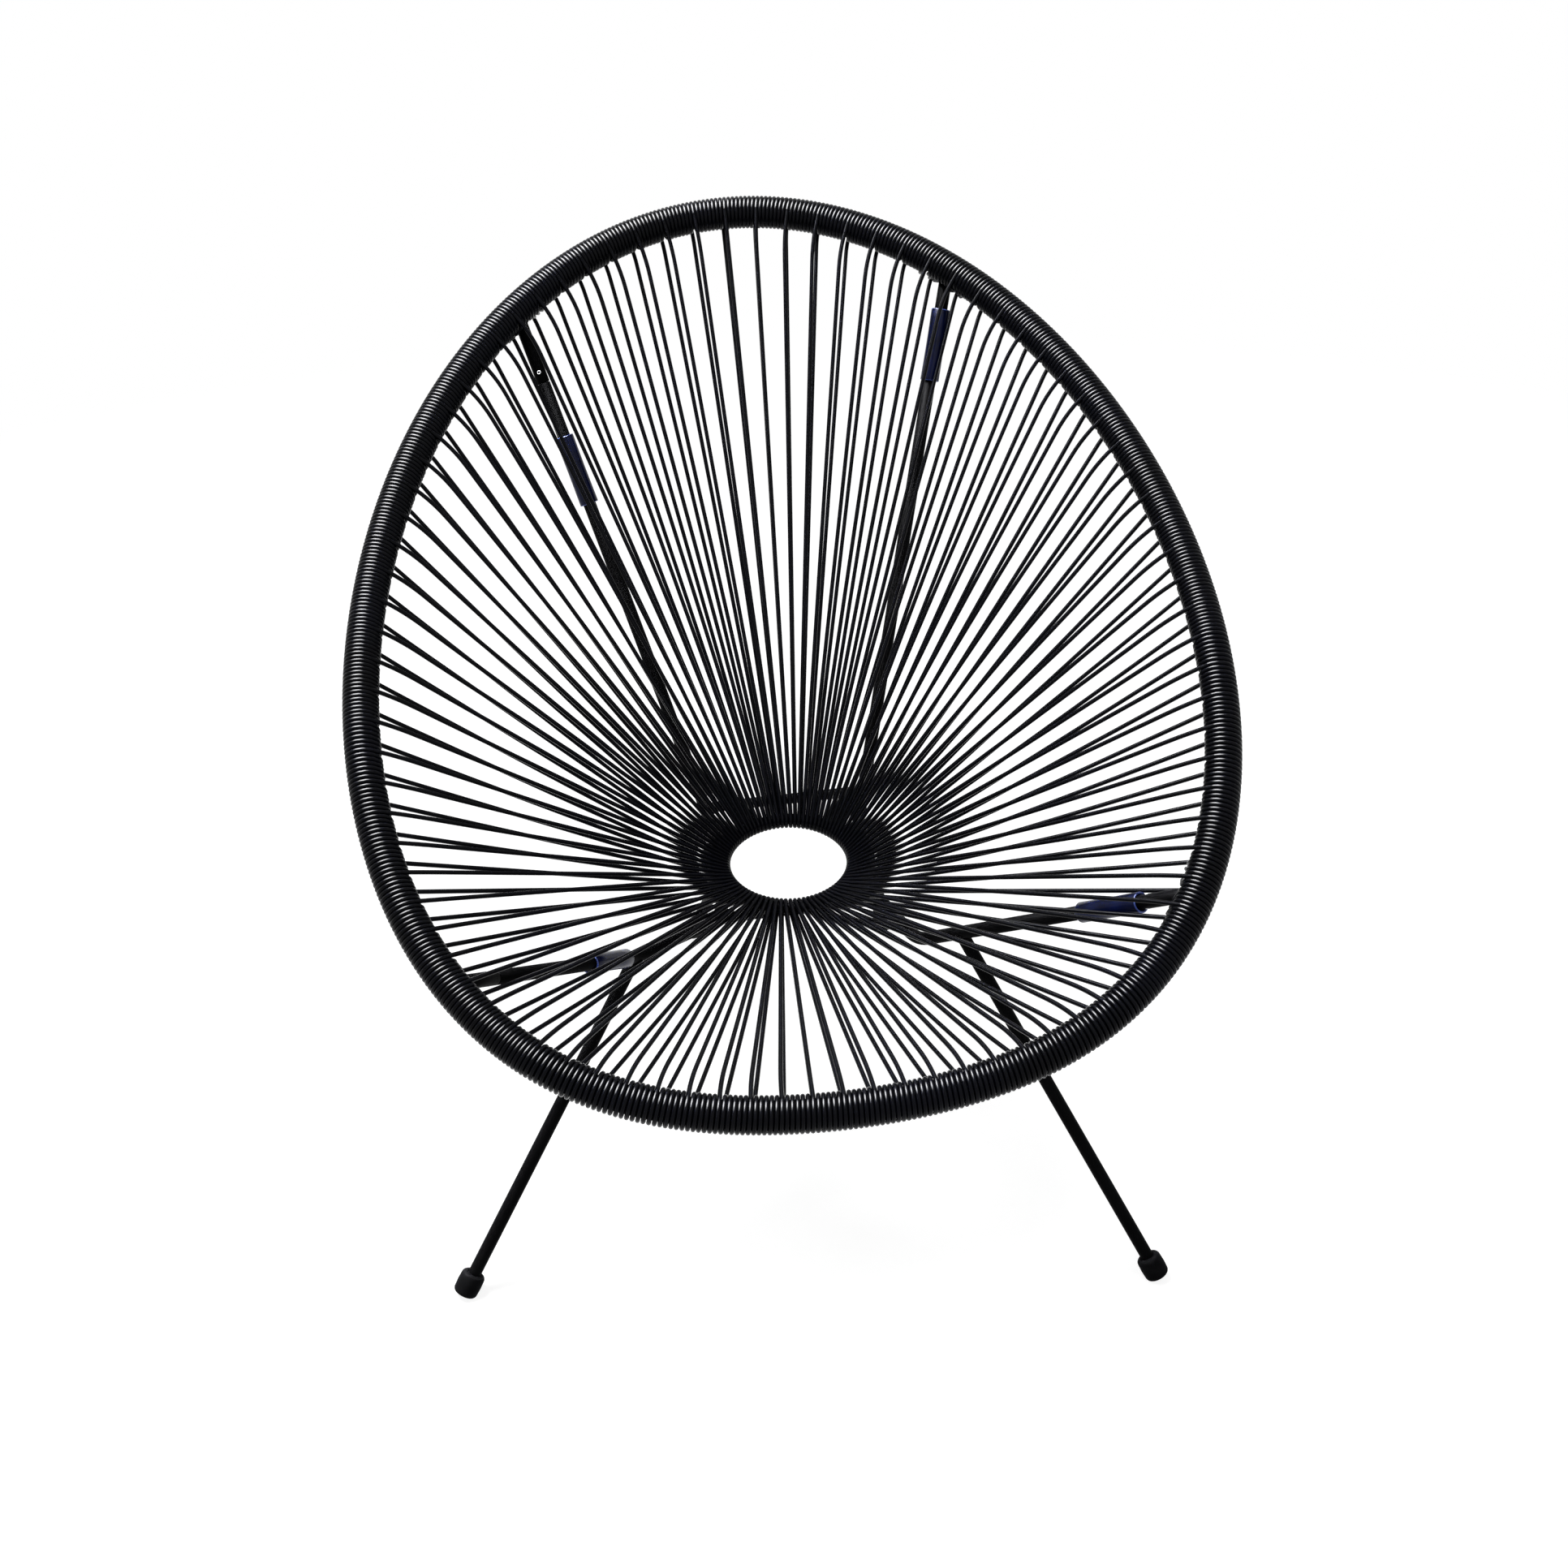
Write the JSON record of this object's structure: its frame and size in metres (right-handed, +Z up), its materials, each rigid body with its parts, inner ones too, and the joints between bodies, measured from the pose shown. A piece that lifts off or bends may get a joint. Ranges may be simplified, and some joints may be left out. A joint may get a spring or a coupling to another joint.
{
  "type": "acapulco chair",
  "caption": "Low lounge chair: an egg-shaped steel hoop strung with black plastic cord round a hub ring, on a bent-rod base with splayed legs and rubber feet.",
  "frame": {"origin": "on the floor under the middle of the chair's bounding box", "axes": "+Z up, the sitter faces -Y, +X is to the right of someone who looks at the chair from the front"},
  "size_m": [0.7322, 0.7758, 0.8488],
  "materials": {
    "plastic_cord": "glossy black extruded cord with a slight navy tint",
    "coated_steel": "black powder coat, satin",
    "screw_steel": "zinc-plated grub screw",
    "sleeve_plastic": "glossy dark navy tube",
    "foot_rubber": "matte black rubber"
  },
  "bodies": {
    "frame": {"outer_hoop": "coated_steel", "hub_ring": "coated_steel", "cord_web_1": "plastic_cord", "cord_web_2": "plastic_cord", "cord_web_3": "plastic_cord", "cord_web_4": "plastic_cord", "cord_web_5": "plastic_cord", "cord_web_6": "plastic_cord", "cord_web_7": "plastic_cord", "cord_web_8": "plastic_cord", "cord_web_9": "plastic_cord", "cord_web_10": "plastic_cord", "cord_web_11": "plastic_cord", "cord_web_12": "plastic_cord", "cord_web_13": "plastic_cord", "cord_web_14": "plastic_cord", "cord_web_15": "plastic_cord", "hoop_winding_1": "plastic_cord", "hoop_winding_2": "plastic_cord", "hoop_winding_3": "plastic_cord", "hoop_winding_4": "plastic_cord", "hoop_winding_5": "plastic_cord", "hoop_winding_6": "plastic_cord", "hoop_winding_7": "plastic_cord", "hoop_winding_8": "plastic_cord", "hoop_winding_9": "plastic_cord", "hoop_winding_10": "plastic_cord", "hoop_winding_11": "plastic_cord", "hoop_winding_12": "plastic_cord", "hoop_winding_13": "plastic_cord", "hoop_winding_14": "plastic_cord", "hoop_winding_15": "plastic_cord", "hoop_stub_upper_left": "coated_steel", "hoop_stub_lower_left": "coated_steel", "joint_screw_upper_left": "screw_steel", "joint_screw_lower_left": "screw_steel", "cradle_rod_left": "coated_steel", "front_left_leg": "coated_steel", "rear_left_leg": "coated_steel", "front_left_foot_cap": "foot_rubber", "rear_left_foot_cap": "foot_rubber", "hoop_stub_upper_right": "coated_steel", "hoop_stub_lower_right": "coated_steel", "joint_screw_upper_right": "screw_steel", "joint_screw_lower_right": "screw_steel", "cradle_rod_right": "coated_steel", "front_right_leg": "coated_steel", "rear_right_leg": "coated_steel", "front_right_foot_cap": "foot_rubber", "rear_right_foot_cap": "foot_rubber", "rear_cross_bar": "coated_steel", "front_cross_bar": "coated_steel"},
    "sleeve_upper_left": {"joint_sleeve_upper_left": "sleeve_plastic"},
    "sleeve_upper_right": {"joint_sleeve_upper_right": "sleeve_plastic"},
    "sleeve_lower_left": {"joint_sleeve_lower_left": "sleeve_plastic"},
    "sleeve_lower_right": {"joint_sleeve_lower_right": "sleeve_plastic"}
  },
  "joints": [
    {"name": "sleeve_upper_left_slide", "type": "slide", "parent": "frame", "child": "sleeve_upper_left", "axis": [0.3116, -0.3247, -0.893], "range_m": [-0.105, 0.3]},
    {"name": "sleeve_upper_right_slide", "type": "slide", "parent": "frame", "child": "sleeve_upper_right", "axis": [-0.184, -0.359, -0.915], "range_m": [-0.021, 0.385]},
    {"name": "sleeve_lower_left_slide", "type": "slide", "parent": "frame", "child": "sleeve_lower_left", "axis": [0.4129, 0.769, -0.4881], "range_m": [-0.2, 0.01]},
    {"name": "sleeve_lower_right_slide", "type": "slide", "parent": "frame", "child": "sleeve_lower_right", "axis": [-0.5992, 0.5986, -0.5316], "range_m": [-0.043, 0.138]}
  ]
}
